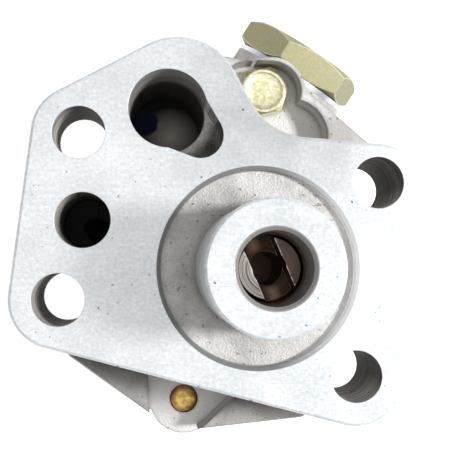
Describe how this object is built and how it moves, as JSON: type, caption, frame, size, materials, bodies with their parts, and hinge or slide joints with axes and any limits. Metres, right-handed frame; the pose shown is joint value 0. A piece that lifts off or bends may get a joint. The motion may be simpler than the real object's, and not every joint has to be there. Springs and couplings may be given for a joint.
{
  "type": "engine oil pump",
  "caption": "Gear oil pump with a four-eared machined flange, a drive snout, flange ports and a screwed relief valve on a cast body.",
  "frame": {"origin": "where the drive shaft's axis crosses the machined flange face", "axes": "+Z along the shaft, out of the snout; +Y towards the port's side; the rear cover is lowest"},
  "size_m": [0.1002, 0.1264, 0.1355],
  "materials": {
    "casting": "machined front, cast elsewhere",
    "cast_body": "sand-cast",
    "cast_cover": "sand-cast, machined joint",
    "shaft": "turned, oil-darkened",
    "gear": "ground",
    "key": "drawn",
    "bush": "bronze, bored",
    "pin": "ground",
    "piston": "ground",
    "spring": "spring steel",
    "plug": "yellow zinc",
    "washer": "bare",
    "bolt": "yellow zinc",
    "gasket": "oiled paper"
  },
  "bodies": {
    "housing": {"front_flange": "casting", "front_column": "casting", "front_platform": "casting", "front_port_foot": "casting", "front_snout": "casting", "pump_body": "cast_body", "rear_cover": "cast_cover", "gallery_plug": "pin", "body_gasket": "gasket", "cover_gasket": "gasket", "idler_pin": "pin", "front_bush": "bush", "middle_bush": "bush", "rear_bush": "bush", "relief_plug": "plug", "plug_washer": "washer", "spring_shim": "pin", "relief_spring": "spring", "front_bolt": "bolt", "rear_bolts": "bolt", "body_dowels": "pin"},
    "drive": {"drive_shaft": "shaft", "drive_key": "key", "drive_gear": "gear"},
    "idler": {"idler_gear": "gear", "idler_bush": "bush"},
    "relief": {"relief_piston": "piston"}
  },
  "joints": [
    {"name": "drive_spin", "type": "hinge", "parent": "housing", "child": "drive", "pos_m": [0, 0, 0], "axis": [0, 0, 1], "continuous": true},
    {"name": "idler_spin", "type": "hinge", "parent": "housing", "child": "idler", "pos_m": [-0.02243, 0.01046, 0], "axis": [0, 0, 1], "continuous": true},
    {"name": "relief_slide", "type": "slide", "parent": "housing", "child": "relief", "axis": [0.5278, 0.8285, 0.1874], "range_m": [0, 0.008], "stiffness_N_per_m": 4000, "springref_m": -0.008, "deforming": ["relief_spring"]}
  ],
  "couplings": [
    {"joint": "idler_spin", "follows": "drive_spin", "ratio": -1}
  ]
}
